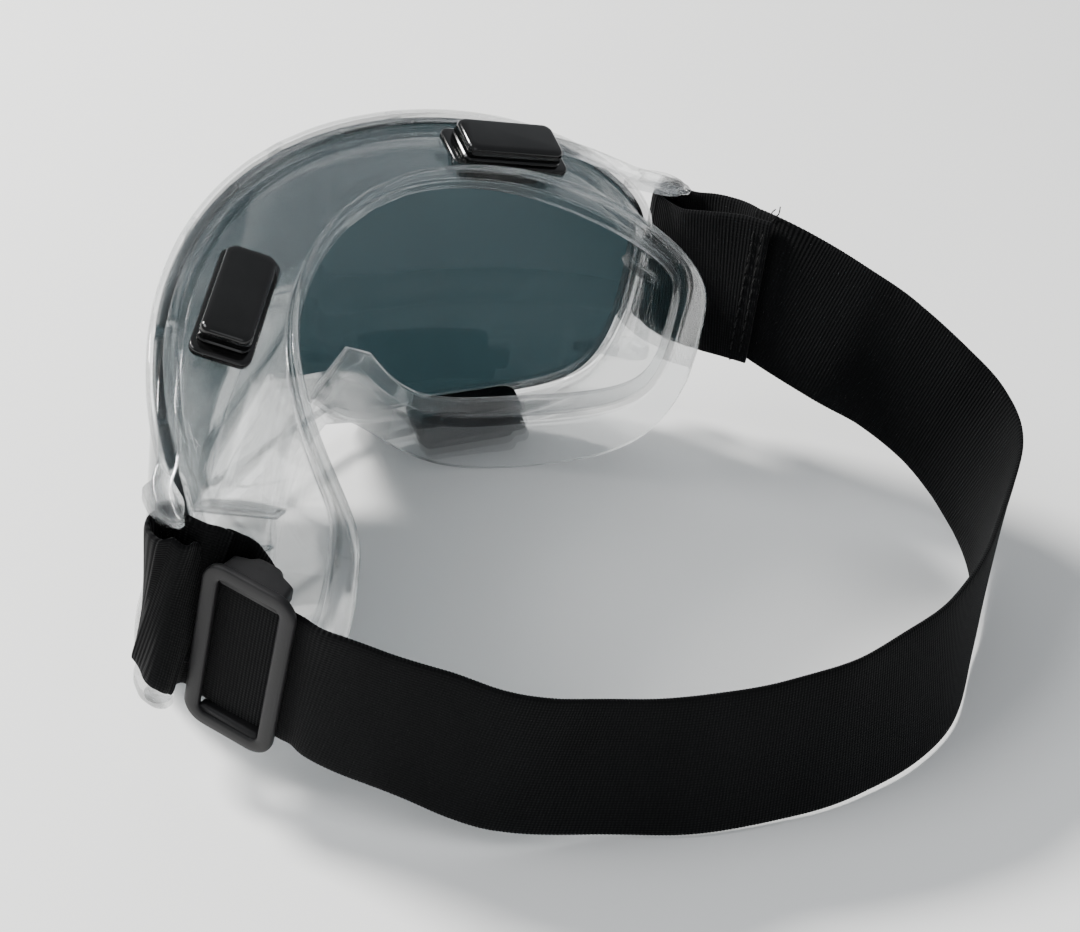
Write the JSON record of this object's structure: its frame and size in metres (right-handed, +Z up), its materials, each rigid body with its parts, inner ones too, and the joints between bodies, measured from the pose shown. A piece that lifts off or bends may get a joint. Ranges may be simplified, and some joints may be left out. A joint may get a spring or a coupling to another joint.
{
  "type": "safety goggles",
  "caption": "Clear soft-framed indirect-vent safety goggles with a smoke-tinted wraparound lens, wide black elastic headband and sliding adjuster.",
  "frame": {"origin": "centre of the whole part's bounding box, on the surface it stands on", "axes": "+Z up as the goggles stand and are worn, +Y forward out of the lens, +X towards the wearer's right"},
  "size_m": [0.2032, 0.1814, 0.0962],
  "materials": {
    "clear_pvc": "clear soft moulded plastic, glossy",
    "smoke_lens": "smoke-tinted polycarbonate, polished",
    "vent_black": "glossy moulded",
    "webbing": "matte woven elastic with fine cross ribs",
    "thread": "twisted sewing thread",
    "slider_grey": "satin moulded"
  },
  "bodies": {
    "goggles": {"frame_body": "clear_pvc", "face_flange": "clear_pvc", "ear_left": "clear_pvc", "ear_right": "clear_pvc", "lens_clips": "clear_pvc", "lens": "smoke_lens", "vent_base_top_left": "vent_black", "vent_base_top_right": "vent_black", "vent_base_low_left": "vent_black", "vent_base_low_right": "vent_black", "vent_cap_top_left": "vent_black", "vent_cap_top_right": "vent_black", "vent_cap_low_left": "vent_black", "vent_cap_low_right": "vent_black", "strap_loop_left": "webbing", "strap_loop_right": "webbing", "stitch_right": "thread"},
    "adjuster": {"slider": "slider_grey", "strap_tail": "webbing", "stitch_tail": "thread"},
    "headband": {"strap_band": "webbing"}
  },
  "joints": [
    {"name": "slider_slide", "type": "slide", "parent": "goggles", "child": "adjuster", "axis": [0.1605, -0.9829, -0.0903], "range_m": [0, 0.0065]},
    {"name": "strap_tilt", "type": "hinge", "parent": "goggles", "child": "headband", "pos_m": [0.00757, -0.01722, 0.04085], "axis": [-0.9932, -0.0085, -0.1165], "range_deg": [0, 25]}
  ]
}
